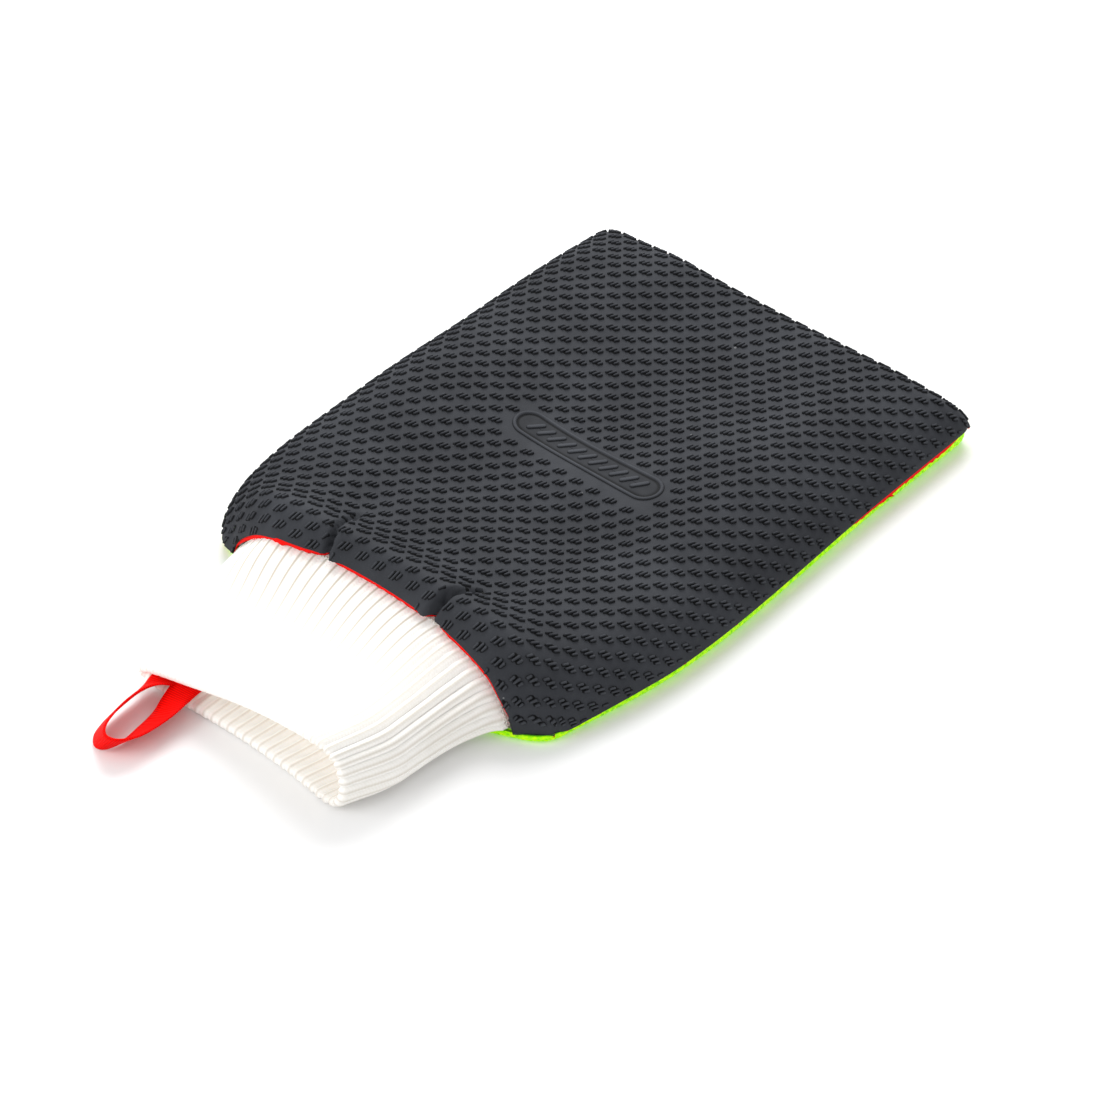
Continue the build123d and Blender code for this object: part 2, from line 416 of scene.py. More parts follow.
class Shader:
    """A node material with a few shorthands, so that each material below reads as a recipe."""

    def __init__(self, name, roughness, **sockets):
        self.material = bpy.data.materials.new(name)
        self.material.use_nodes = True
        self.tree = self.material.node_tree
        self.shader = self.tree.nodes["Principled BSDF"]
        self.shader.inputs["Roughness"].default_value = roughness
        for socket, value in sockets.items():
            self.shader.inputs[socket.replace("_", " ")].default_value = value

    def node(self, kind, inputs=(), **settings):
        made = self.tree.nodes.new(kind)
        for key, value in settings.items():
            setattr(made, key, value)
        for key, value in dict(inputs).items():
            if isinstance(value, bpy.types.NodeSocket):
                self.tree.links.new(value, made.inputs[key])
            else:
                made.inputs[key].default_value = value
        return made

    def place(self):
        return self.node("ShaderNodeTexCoord").outputs["Object"]

    def uv(self):
        return self.node("ShaderNodeTexCoord").outputs["UV"]

    def noise(self, where, scale, detail=4.0, roughness=0.55):
        inputs = {"Vector": where, "Scale": scale, "Detail": detail, "Roughness": roughness}
        return self.node("ShaderNodeTexNoise", inputs).outputs["Fac"]

    def cells(self, where, scale):
        return self.node("ShaderNodeTexVoronoi", {"Vector": where, "Scale": scale}).outputs["Distance"]

    def attribute(self, name):
        return self.node("ShaderNodeAttribute", attribute_name=name).outputs["Fac"]

    def uv_parts(self):
        parts = self.node("ShaderNodeSeparateXYZ", {"Vector": self.uv()})
        return parts.outputs["X"], parts.outputs["Y"]

    def ramp(self, factor, *stops):
        """Colour ramp through (place, colour) stops, where a single number is a grey."""
        made = self.node("ShaderNodeValToRGB", {"Fac": factor})
        elements = made.color_ramp.elements
        while len(elements) < len(stops):
            elements.new(0.5)
        for element, (at, colour) in zip(elements, stops):
            element.position = at
            element.color = (*(colour if isinstance(colour, tuple) else (colour,) * 3), 1)
        return made.outputs["Color"]

    def math(self, operation, a, b=0.0):
        made = self.node("ShaderNodeMath", {0: a, 1: b}, operation=operation)
        return made.outputs[0]

    def mix(self, factor, a, b, **settings):
        made = self.node("ShaderNodeMix", {"Factor": factor}, data_type="RGBA", **settings)
        for socket, value in ((made.inputs[6], a), (made.inputs[7], b)):
            if isinstance(value, bpy.types.NodeSocket):
                self.tree.links.new(value, socket)
            else:
                socket.default_value = (*value, 1)
        return made.outputs[2]

    def colour(self, socket):
        self.tree.links.new(socket, self.shader.inputs["Base Color"])

    def relief(self, *layers):
        """Bump from (height socket, strength, distance) layers, one over the other."""
        normal = None
        for height, strength, distance in layers:
            inputs = {"Height": height, "Strength": strength, "Distance": distance}
            if normal is not None:
                inputs["Normal"] = normal
            normal = self.node("ShaderNodeBump", inputs).outputs["Normal"]
        self.tree.links.new(normal, self.shader.inputs["Normal"])

    def vary_roughness(self, factor, low, high):
        inputs = {"Value": factor, "To Min": low, "To Max": high}
        made = self.node("ShaderNodeMapRange", inputs)
        self.tree.links.new(made.outputs["Result"], self.shader.inputs["Roughness"])


def rubber_material(name, raised=False):
    """Matte charcoal clay rubber: fine grain, faint cloudy tone and a few pale lint specks.

    On raised marks the foot gets painted shade and the top a painted highlight, from the points' relief
    value."""
    s = Shader(name, 0.7, Specular_IOR_Level=0.14)
    where = s.place()
    cloud = s.noise(where, 38, 3)
    tone = s.ramp(cloud, (0.3, (0.0255, 0.0272, 0.0320)), (0.72, (0.0405, 0.0435, 0.0505)))
    grain = s.noise(where, 1500, 2)
    pores = s.cells(where, 950.0)
    speck = s.math("LESS_THAN", s.cells(where, 95.0), 0.045)
    chosen = s.math("GREATER_THAN", s.noise(where, 55, 1), 0.6)
    mask = s.math("MULTIPLY", s.math("MULTIPLY", speck, chosen), 0.25)
    if raised:
        # painted shade at the foot of each raised mark and a painted highlight on its top
        shade = s.ramp(s.attribute("relief"), (0.0, 0.1), (0.5, 0.35), (1.0, 1.3))
        tone = s.mix(1.0, tone, shade, blend_type="MULTIPLY")
    s.colour(s.mix(mask, tone, (0.5, 0.5, 0.5)))
    s.vary_roughness(s.noise(where, 240, 4), 0.62, 0.82)
    s.relief((grain, 0.35, 0.00012), (pores, 0.15, 0.00015))
    return s.material


def cloth_material(name, dark, light, scale=900.0, sheen=0.3):
    """Short-pile cloth: mottled tone and a fine random nap."""
    s = Shader(name, 0.85, Sheen_Weight=sheen, Specular_IOR_Level=0.2)
    where = s.place()
    nap = s.noise(where, scale, 5, 0.7)
    s.colour(s.ramp(nap, (0.3, dark), (0.7, light)))
    s.relief((nap, 0.7, 0.0004))
    return s.material


def foam_material():
    """Open-cell foam: round cells with their pits darkened by painted shade."""
    s = Shader("foam", 0.9, Specular_IOR_Level=0.2)
    where = s.place()
    cells = s.cells(where, 800.0)
    s.colour(s.ramp(cells, (0.1, (0.35, 0.34, 0.3)), (0.5, (0.78, 0.76, 0.7))))
    s.relief((cells, 0.9, 0.0006))
    return s.material


def woven_material(name, dark, light, pitch=0.0009):
    """Plain weave from two crossed waves over the piece's own uv, in metres."""
    s = Shader(name, 0.6, Sheen_Weight=0.2)
    where = s.uv()
    waves = []
    for axis in ("X", "Y"):
        inputs = {"Vector": where, "Scale": 0.314 / pitch, "Distortion": 0.3, "Detail": 1.0}
        made = s.node("ShaderNodeTexWave", inputs, bands_direction=axis)
        waves.append(made.outputs["Fac"])
    weave = s.math("MAXIMUM", *waves)
    s.colour(s.ramp(weave, (0.35, dark), (0.9, light)))
    s.relief((weave, 0.6, 0.0002))
    return s.material


def mesh_strand_material():
    """Neon spacer mesh: filament bundles mottled from green to yellow-green.

    A part of its brightness is emission, which stands for the dye's fluorescence and is also a painted
    glow that throws green light onto the floor."""
    s = Shader("green_mesh", 0.5, Sheen_Weight=0.1, Specular_IOR_Level=0.2, Emission_Strength=0.4)
    s.shader.inputs["Emission Color"].default_value = (0.42, 1.0, 0.0, 1)
    where = s.place()
    tone = s.noise(where, 700, 4, 0.65)
    shade, middle, top = (0.02, 0.36, 0.0), (0.34, 0.72, 0.0), (0.62, 0.8, 0.0)
    s.colour(s.ramp(tone, (0.38, shade), (0.5, middle), (0.62, top)))
    fibre = s.noise(where, 2600, 3)
    s.relief((fibre, 0.5, 0.00015))
    return s.material


def mesh_core_material():
    """The darker green inside of the spacer mesh, seen through its holes, with a faint painted green glow
    from its emission.
    """
    s = Shader("green_mesh_core", 0.7, Emission_Strength=0.06)
    s.shader.inputs["Emission Color"].default_value = (0.1, 0.7, 0.0, 1)
    where = s.place()
    fibre = s.noise(where, 1500, 3)
    s.colour(s.ramp(fibre, (0.3, (0.05, 0.36, 0.0)), (0.7, (0.22, 0.78, 0.0))))
    s.relief((fibre, 0.8, 0.0003))
    return s.material


def knit_material():
    """Cotton rib knit: small V stitches along each rib, slightly fuzzy, with painted warm shade in the
    grooves.
    """
    s = Shader("white_knit", 0.92, Sheen_Weight=0.25, Specular_IOR_Level=0.1, Emission_Strength=1.0)
    s.shader.inputs["Sheen Roughness"].default_value = 0.7
    u, v = s.uv_parts()         # u counts ribs and v is metres along the cuff
    across = s.math("PINGPONG", s.math("MULTIPLY", u, 2.0), 0.5)
    along = s.math("MULTIPLY", v, 1 / KNIT_STITCH)
    slant = s.math("ADD", along, s.math("MULTIPLY", across, 0.9))
    stitch = s.math("PINGPONG", slant, 0.5)
    fuzz = s.noise(s.place(), 1700, 5, 0.75)
    cloud = s.noise(s.place(), 70, 2)
    tone = s.ramp(cloud, (0.3, (0.91, 0.885, 0.84)), (0.7, (0.955, 0.94, 0.91)))
    stitched = s.mix(0.25, tone, s.ramp(stitch, (0.0, (0.82, 0.78, 0.7)), (0.4, (0.96, 0.95, 0.92))))
    from_middle = s.math("PINGPONG", u, 0.5)
    decimetres = s.math("MULTIPLY", v, 10.0)
    # painted shade in the grooves, thin where the knit is stretched and wide where it bunches; the thin
    # lines fade towards the lip, painting in the strong light that washes out the cuff's upper side
    fade = s.ramp(decimetres, (0.1, 1), (0.3, 0.22), (0.45, 0.08))
    thin = s.mix(fade, (0, 0, 0), s.ramp(from_middle, (0.0, 0.95), (0.16, 0)))
    wide = s.ramp(from_middle, (0.0, 0.5), (0.24, 0))
    groove_shade = s.mix(s.attribute("relief"), thin, wide)
    s.colour(s.mix(groove_shade, stitched, (0.42, 0.355, 0.26)))
    # emission stands for the light that white knit scatters, and more of it inside, past the fold
    outside, inside = (0.06, 0.058, 0.055), (0.2, 0.186, 0.172)
    lit = s.ramp(decimetres, (0.52, outside), (0.66, inside))
    s.tree.links.new(lit, s.shader.inputs["Emission Color"])
    s.relief((stitch, 0.3, 0.0002), (fuzz, 0.55, 0.0004))
    return s.material


def ribbon_material():
    """Grosgrain ribbon: fine ribs across the width, woven edges."""
    s = Shader("red_ribbon", 0.6, Specular_IOR_Level=0.04)
    u, v = s.uv_parts()         # u runs across the ribbon from 0 to 1 and v is metres along it
    rib = s.math("PINGPONG", s.math("MULTIPLY", v, 1 / GROSGRAIN_RIB), 0.5)
    thread = s.math("PINGPONG", s.math("MULTIPLY", u, 22.0), 0.5)
    tone = s.ramp(rib, (0.0, (0.6, 0.001, 0.0005)), (0.35, (1.0, 0.004, 0.002)))
    s.colour(s.mix(s.math("MULTIPLY", thread, 0.4), tone, (0.8, 0.002, 0.001)))
    s.relief((rib, 0.8, 0.0003), (thread, 0.25, 0.0001))
    return s.material


def thread_material(name, dark, light):
    """Spun thread: a steep two-ply twist."""
    s = Shader(name, 0.6, Sheen_Weight=0.3)
    ply = s.noise(s.place(), 2400, 2)
    s.colour(s.ramp(ply, (0.35, dark), (0.65, light)))
    s.relief((ply, 0.6, 0.0002))
    return s.material


RUBBER = rubber_material("clay_rubber")
MARK_RUBBER = rubber_material("clay_rubber_marks", raised=True)
RED_CLOTH = cloth_material("red_cloth", (0.8, 0.001, 0.0005), (1.0, 0.006, 0.002), sheen=0.0)
FOAM = foam_material()
LINING = woven_material("lining", (0.05, 0.05, 0.055), (0.14, 0.14, 0.15))
STRANDS = mesh_strand_material()
CORE = mesh_core_material()
KNIT = knit_material()
RIBBON = ribbon_material()
DARK_THREAD = thread_material("dark_thread", (0.02, 0.02, 0.024), (0.07, 0.07, 0.075))
WHITE_THREAD = thread_material("white_thread", (0.6, 0.57, 0.5), (0.88, 0.86, 0.8))
RED_THREAD = thread_material("red_thread", (0.5, 0.005, 0.003), (0.85, 0.02, 0.01))


# ---------------------------------------------------------------- front face

def panel_area(a, b, quads):
    """Flat area of cut quads in square metres, by the shoelace rule."""
    pa, pb = a[quads], b[quads]
    return float(np.abs((pa * np.roll(pb, -1, 1) - pb * np.roll(pa, -1, 1)).sum(1) / 2).sum() * MM * MM)


def panel_piece(name, material, step, edge, depth, rim_depth=0.0):
    """A whole layer of the front face, under its outer surface by depth, with a turned-in rim."""
    a, b, quads = cut_panel(step, edge)
    points = front_points(a, b, -depth(a, b))
    uv = np.stack([a, b], -1) * MM
    faces = quads.tolist()
    if rim_depth:
        names, strip = rim_strip(open_edges(quads), len(points))
        inner = front_points(a[names], b[names], -depth(a[names], b[names]) - rim_depth)
        points = np.concatenate([points, inner])
        uv = np.concatenate([uv, uv[names]])
        faces += strip
    piece = make_mesh(name, points, faces, material, uv)
    size = ((a.max() - a.min()) * MM, (b.max() - b.min()) * MM)
    return piece, size, panel_area(a, b, quads)


def even_outline(outline, count):
    """The closed outline again as count points evenly spaced along it."""
    closed = np.vstack([outline, outline[:1]])
    run = run_along(np.linalg.norm(np.diff(closed, axis=0), axis=1))
    place = np.linspace(0, run[-1], count, endpoint=False)
    return np.stack([np.interp(place, run, closed[:, k]) for k in (0, 1)], -1)


def capsule(length, width, around, even=False):
    """Outline of a bar with round ends, along +v, centred on the origin."""
    half = (length - width) / 2
    count = 4 * around if even else around
    angle = np.arange(count) / count * 2 * math.pi
    u, v = np.cos(angle) * width / 2, np.sin(angle) * width / 2
    outline = np.stack([u, v + np.where(np.sin(angle) >= 0, half, -half)], -1)
    return even_outline(outline, around) if even else outline


def raised_bars(centres, length, width, height, slant, around=8, even=False):
    """Round-topped bars on the front face, one for each flat centre: points and faces."""
    rings = (
        # outline growth, share of the height
        (0.2, -0.12),
        (0.0, 0.78),
        (-0.22, 1.0),
    )
    turn = np.array([[math.cos(slant), -math.sin(slant)], [math.sin(slant), math.cos(slant)]])
    flat, lift = [], []
    for growth, share in rings:
        outline = capsule(length + 2 * growth, width + 2 * growth, around, even) @ turn.T
        flat.append(outline)
        lift.append(np.full(around, share))
    flat, lift = np.concatenate(flat), np.concatenate(lift)
    every = (centres[:, None, :] + flat[None]).reshape(-1, 2)
    rise = np.repeat(np.broadcast_to(height, len(centres)), len(lift)) * np.tile(lift, len(centres))
    points = front_points(every[:, 0], every[:, 1], rise)
    # relief runs from 0 at the foot to 1 on top and sets the mark material's painted shade and highlight
    relief = np.tile(np.clip(lift, 0, 1), len(centres))
    wall = grid_faces(len(rings), around, wrap=True)
    cap = np.arange(around) + (len(rings) - 1) * around
    faces = []
    for first in range(0, len(points), len(lift)):
        faces.extend((wall + first).tolist())
        faces.append((cap + first).tolist())
    return points, faces, relief


def mark_centres():
    """Flat centres of the marks, in a staggered field that leaves the plaque free."""
    places = []
    for row in range(-6, int(LENGTH / MARK_PITCH_Y * 2) + 6):
        offset = MARK_PITCH_X / 2 if row % 2 else 0.0
        for column in range(-15, 16):
            places.append((column * MARK_PITCH_X + offset, row * MARK_PITCH_Y / 2 + 1.0))
    places = np.array(places)
    past = np.abs(places - (PLAQUE_X, PLAQUE_T)) - (PLAQUE_LENGTH / 2 + 2.6, PLAQUE_WIDTH / 2 + 2.0)
    return places[past.max(1) > 0]


def make_marks():
    """The field of raised marks, cut off at the edge of the sheet.

    Each is three slanted bars over a thin dark plate, painted shadow that fills the gaps between them."""
    centres = mark_centres()
    points, faces, relief = [], [], []
    for over, up, length in BARS:
        bars = centres + (over, up)
        x, t, _, inside = drape(bars[:, 0], bars[:, 1])
        clear = inside > length / 2
        for seam_x, drift, pleat_length, lap in PLEATS:
            side = beside_pleat(x, t, seam_x, drift) * lap
            clear &= (side > 1.4) | (side < -2.0) | (t > 4 + 0.85 * pleat_length)
        height = BAR_HEIGHT * (0.7 + 0.3 * smooth(inside[clear], 1, 8))
        made = [raised_bars(bars[clear], length, BAR_WIDTH, height, BAR_SLANT)]
        if over == 0:
            # the plate gets relief 0, the darkest in the mark material: painted shadow between the bars
            floor, shadow_plate_faces, _ = raised_bars(bars[clear], *MARK_SHADOW_PLATE, BAR_SLANT + math.pi / 2)
            made.append((floor, shadow_plate_faces, np.zeros(len(floor))))
        for more, more_faces, more_relief in made:
            first = sum(len(p) for p in points)
            faces += [[i + first for i in face] for face in more_faces]
            points.append(more)
            relief.append(more_relief)
    relief = np.concatenate(relief)
    return make_mesh("rubber_marks", np.concatenate(points), faces, MARK_RUBBER, relief=relief)


def make_plaque():
    """A plain raised stadium with a rounded border and a row of slanted bars, no lettering."""
    # outline growth and height: the rounded border, the groove inside it, the flat middle
    profile = [(0.7, -0.15), (0.35, 0.0), (0.1, 0.45), (-0.3, 0.6), (-0.75, 0.55)]
    profile += [(-1.1, 0.1), (-1.5, 0.0), (-2.0, 0.18)]
    profile += [(g, 0.22) for g in np.linspace(-2.6, 0.05 - PLAQUE_WIDTH / 2, 6)]
    around = 160
    rows = []
    for growth, height in profile:
        outline = capsule(PLAQUE_LENGTH + 2 * growth, PLAQUE_WIDTH + 2 * growth, around, True)
        place = np.array([PLAQUE_X, PLAQUE_T]) + outline @ np.array([[0, 1], [-1, 0]])
        rows.append(front_points(place[:, 0], place[:, 1], np.full(around, height)))
    # relief per ring: painted shade in the groove and at the foot, painted highlight on the raised border
    relief = np.repeat([0.45 + h if h > 0.05 else 0.1 for _, h in profile], around)
    points = np.concatenate(rows)
    faces = grid_faces(len(rows), around, wrap=True).tolist()
    centres = np.array([(PLAQUE_X + k * PLAQUE_BAR_PITCH, PLAQUE_T) for k in range(-5, 6)])
    more, more_faces, more_relief = raised_bars(
        centres, PLAQUE_BAR_LENGTH, PLAQUE_BAR_WIDTH, PLAQUE_BAR_HEIGHT, PLAQUE_BAR_SLANT, 24, True)
    faces += [[i + len(points) for i in face] for face in more_faces]
    relief = np.concatenate([relief, more_relief])
    return make_mesh("rubber_plaque", np.concatenate([points, more]), faces, MARK_RUBBER, relief=relief)


def cloth_edge(a, b):
    """How far the red cloth shows past the rubber: all along the mouth, by the right tip, in flecks."""
    x, t = drape(a, b)[:2]
    ragged = 0.5 + 0.5 * np.sin(a * 1.9 + b * 1.3) * np.sin(b * 0.83 - a * 0.4)
    at_mouth = smooth(t, 14, 5) * smooth(np.abs(x), 62, 56)
    at_tip = smooth(t, 134, 160) * smooth(x, 60, 78) * smooth(t, 204, 196)
    flecks = 0.35 * smooth(ragged, 0.7, 0.95) * smooth(x, 60, 75) * smooth(t, 204, 196)
    return 0.25 + (1.1 + 0.6 * ragged) * np.maximum(at_mouth, at_tip) + flecks


def cloth_depth(a, b):
    """The cloth lies under the rubber and comes up flush beyond its edge."""
    x, t, _, inside = drape(a, b)
    return 0.35 + (CLOTH_DEPTH - 0.35) * smooth(inside, 0.0, 3.0) + pleat_room(x, t)


def lining_depth(a, b):
    x, t = drape(a, b)[:2]
    return LINING_DEPTH + pleat_room(x, t)


def nothing(a, b):
    return 0.0


skin, skin_size, skin_area = panel_piece("rubber_panel", RUBBER, 1.0, nothing, nothing, 1.2)
marks = make_marks()
plaque = make_plaque()
cloth, cloth_size, cloth_area = panel_piece("red_backing", RED_CLOTH, 1.6, cloth_edge, cloth_depth, 0.8)
front_lining, front_lining_size, front_lining_area = panel_piece(
    "pocket_lining_front", LINING, 3.5, lambda a, b: -1.0, lining_depth)

for piece in (skin, marks, plaque, cloth, front_lining):
    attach(piece, "mitt")
for piece in (skin, marks, plaque):
    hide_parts("rubber_skin")
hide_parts("backing_cloth")
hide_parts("front_lining")


def make_front_foam():
    """The foam between the red cloth and the lining: a crowned closed pad."""
    a, b, quads = cut_panel(3.0, lambda a, b: -2.0)
    x, t = drape(a, b)[:2]
    room = pleat_room(x, t)
    top = front_points(a, b, -FOAM_DEPTH - room)
    low = front_points(a, b, -FOAM_DEPTH - FOAM_THICKNESS - room)
    faces = quads.tolist() + [[i + len(top) for i in face[::-1]] for face in quads.tolist()]
    faces += [[int(q), int(p), int(p) + len(top), int(q) + len(top)] for p, q in open_edges(quads)]
    return make_mesh("front_foam_pad", np.concatenate([top, low]), faces, FOAM)


front_foam = make_front_foam()
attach(front_foam, "mitt")
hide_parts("front_foam")


# ---------------------------------------------------------------- back face

BACK_EDGE_Z = 3.6           # where the mesh meets the red cloth in the seam
MESH_CELL = 3.0             # across the flats of one hole and its strand
MESH_DEPTH = 0.8
BACK_ROLL = 9.0             # width of the band that rolls up


def back_closeness(x, t):
    """As closeness, for the thin flat back: it rolls up only over its last few millimetres."""
    from_mouth = t + 1.5 - 7.0 * smooth(x, 50, 74) - 6.0 * smooth(-x, 48, 64)
    by_side = np.clip(1 - side_distance(x, t) / BACK_ROLL, 0, None) ** 3
    by_tip = np.clip(1 - (LENGTH - t) / BACK_ROLL, 0, None) ** 3
    by_mouth = np.clip(1 - from_mouth / BACK_ROLL, 0, None) ** 3
    return (by_side + by_tip + by_mouth) ** (1 / 3)


def back_points(x, t, lift):
    """Points of the back face at plan place x, t; lift is upwards into the mitt."""
    near = np.clip(back_closeness(x, t), 0, 1)
    z = 0.15 + BACK_EDGE_Z * (1 - np.sqrt(1 - near ** 2 * 0.999)) + lift
    return np.stack([x, t + MOUTH_Y, z], -1)


def back_outline(inset, count=420):
    """Plan points round the back face where its closeness is 1, moved in by inset."""
    angle = np.linspace(0, 2 * math.pi, count, endpoint=False)
    reach = np.full(count, 40.0)
    for step in (16.0, 8.0, 4.0, 2.0, 1.0, 0.5, 0.25, 0.12, 0.06, 0.03):
        for _ in range(12):
            trial = reach + step
            inside = back_closeness(trial * np.cos(angle), CENTRE_T + trial * np.sin(angle)) < 1
            reach = np.where(inside, trial, reach)
    x, t = reach * np.cos(angle), CENTRE_T + reach * np.sin(angle)
    tangent = unit(np.stack([np.roll(x, -1) - np.roll(x, 1), np.roll(t, -1) - np.roll(t, 1)], -1))
    return x - tangent[:, 1] * inset, t + tangent[:, 0] * inset


def towards_centre(x, t, share):
    """The same outline at a share of its size, round the body's centre."""
    return x * share, CENTRE_T + (t - CENTRE_T) * share


def make_back_mesh():
    """Knitted mesh: a field of round holes with rounded strands between them."""
    around = 6
    rows = int(LENGTH / (MESH_CELL * 0.866)) + 3
    columns = int(HALF_WIDTH / MESH_CELL) + 2
    centres = []
    for row in range(-2, rows):
        offset = MESH_CELL / 2 if row % 2 else 0.0
        for column in range(-columns, columns + 1):
            centres.append((column * MESH_CELL + offset, row * MESH_CELL * 0.866))
    centres = np.array(centres)
    centres = centres[back_closeness(centres[:, 0], centres[:, 1]) < 0.86]
    angle = (np.arange(around) + 0.5) / around * 2 * math.pi
    ring = np.stack([np.cos(angle), np.sin(angle)], -1)
    outer = MESH_CELL / math.sqrt(3)
    profile = (
        # share of the cell's own radius, height into the mitt
        (1.0, 0.0),
        (0.80, 0.03),
        (0.62, 0.25),
        (0.58, MESH_DEPTH),
    )
    flat = np.concatenate([ring * outer * share for share, _ in profile])
    lift = np.concatenate([np.full(around, height) for _, height in profile])
    every = (centres[:, None, :] + flat[None]).reshape(-1, 2)
    points = back_points(every[:, 0], every[:, 1], np.tile(lift, len(centres)))
    wall = grid_faces(len(profile), around, wrap=True)
    per_cell = len(profile) * around
    faces = []
    for k in range(len(centres)):
        faces.extend((wall + k * per_cell).tolist())
    return make_mesh("mesh_face", points, faces, STRANDS)


def band_round(name, insets_and_z, material, count=1500):
    """A closed band of knitted bumps that follows the back's outline through (inset, z) stations."""
    rows = []
    for k, (inset, z) in enumerate(insets_and_z):
        knit = 0.22 * np.sin(np.arange(count) * 2 * math.pi / 5 + (k % 2) * math.pi) * (0 < k)
        x, t = back_outline(inset - knit, count)
        rise = side_seam(x, t) - SEAM_Z
        under_cuff = smooth(t, 9, 3) * smooth(np.abs(x), 58, 50)
        rows.append(np.stack([x, t + MOUTH_Y, (z + rise * z / SEAM_Z) * (1 - 0.75 * under_cuff)], -1))
    points = np.concatenate(rows)
    return make_mesh(name, points, grid_faces(len(rows), len(rows[0]), wrap=True), material)


def make_back_core():
    """The spacer inside of the mesh, a thin slab behind the holes, rolled up at its edge."""
    rows = []
    outline = back_outline(0.8)
    for share in np.linspace(0, 1, 26):
        rows.append(back_points(*towards_centre(*outline, share), MESH_DEPTH))
    points = np.concatenate(rows)
    return make_mesh("mesh_core", points, grid_faces(len(rows), len(rows[0]), wrap=True), CORE)


EDGE_ROWS = [
    # inset from the outline, height
    (5.8, 0.75), (3.6, 0.5), (2.6, 0.45), (1.9, 0.7), (1.3, 1.2), (0.95, 1.8),
    (0.8, 2.5), (0.75, 3.2), (0.9, 3.9), (1.3, 4.4), (2.6, 4.6),
]

mesh_face = make_back_mesh()
mesh_core = make_back_core()
mesh_edge = band_round("mesh_edge", EDGE_ROWS, STRANDS)
for piece in (mesh_face, mesh_core, mesh_edge):
    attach(piece, "mitt")
    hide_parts("back_mesh")


def flat_layer(name, material, inset, low, high):
    """A thin flat slab with the back's outline, between two heights."""
    outline = back_outline(inset)
    rows = []
    profile = [(s, low) for s in np.linspace(0.02, 0.985, 10)]
    profile += [(1.0, low * 0.7 + high * 0.3), (1.0, low * 0.3 + high * 0.7)]
    profile += [(s, high) for s in np.linspace(0.985, 0.02, 10)]
    for share, z in profile:
        x, t = towards_centre(*outline, share)
        rows.append(np.stack([x, t + MOUTH_Y, np.full(len(x), z)], -1))
    points = np.concatenate(rows)
    faces = grid_faces(len(rows), len(rows[0]), wrap=True)[:, ::-1]
    return make_mesh(name, points, faces, material, points[:, :2] * MM)


back_foam = flat_layer("back_foam_sheet", FOAM, 3.0, 1.2, 3.0)
back_lining = flat_layer("pocket_lining_back", LINING, 2.6, 4.2, 4.5)
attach(back_foam, "mitt")
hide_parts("back_foam")
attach(back_lining, "mitt")
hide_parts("back_lining")


# ---------------------------------------------------------------- cuff

def cuff_left(d):
    """x of the cuff's left side at d from the mouth towards the lip."""
    return -57.6 + 14.4 * (1 - np.exp(-np.clip(d, 0, None) / 80)) / (1 - math.exp(-54 / 80))


def cuff_right(d):
    """x of the cuff's right side, which is drawn in at once and again near the lip."""
    return 59.0 - 7.0 * (1 - np.exp(-np.clip(d, 0, None) / 11)) - 7.0 * smooth(d, 34, 60)


def cuff_top(x, share, d):
    """Height of the cuff's upper side: under the mouth seam at first, then falling to the lip's line."""
    at_mouth = mouth_height(x) - 1.9 - 3.4 * smooth(-x, 38, 54)
    at_lip = 8.2 + 15.8 * smooth(share, -0.15, 0.95)
    blend = smooth(d, -4, 50)
    sag = -1.6 * bump(d, 26, 16) * bump(share, 0.45, 0.3)
    return at_mouth * (1 - blend) + at_lip * blend + sag


def cuff_section(d, count):
    """Outline of the cuff at d from the mouth: x and z of count points evenly spaced along it."""
    left, right = cuff_left(d), cuff_right(d)
    turn = np.linspace(0, 2 * math.pi, 4 * count, endpoint=False)
    share = 0.5 - 0.5 * np.cos(turn)
    upper = np.sin(turn) >= 0
    squareness = 12 - 5 * smooth(d, 5, 40) * smooth(share, 0.6, 0.3)
    swell = np.sqrt(np.clip(1 - np.abs(2 * share - 1) ** squareness, 0, 1))
    x = left + share * (right - left)
    top = cuff_top(x, share, d)
    bottom = 1.5 - 1.3 * smooth(d, 0, 10)
    middle = bottom + (top - bottom) * (0.38 + 0.1 * (1 - share))
    z = np.where(upper, middle + (top - middle) * swell, middle - (middle - bottom) * swell)
    run = run_along(np.hypot(np.diff(x, append=x[0]), np.diff(z, append=z[0])))
    even = np.linspace(0, run[-1], count, endpoint=False)
    x = np.interp(even, run, np.append(x, x[0]))
    z = np.interp(even, run, np.append(z, z[0]))
    return x, z


def cuff_t(x, z, d):
    """t of a cuff point: it starts on the mouth seam's line and ends on the lip's line."""
    high = smooth(z, 4, 18)
    start = mouth_line(x) * high + 0.5 * (1 - high)
    lip = LIP_T + 2.0 * bump(x, 2, 30) - 1.4 * smooth(x, 20, 44) * smooth(z, 14, 2)
    share = d / -LIP_T
    return start * (1 - share) + lip * share


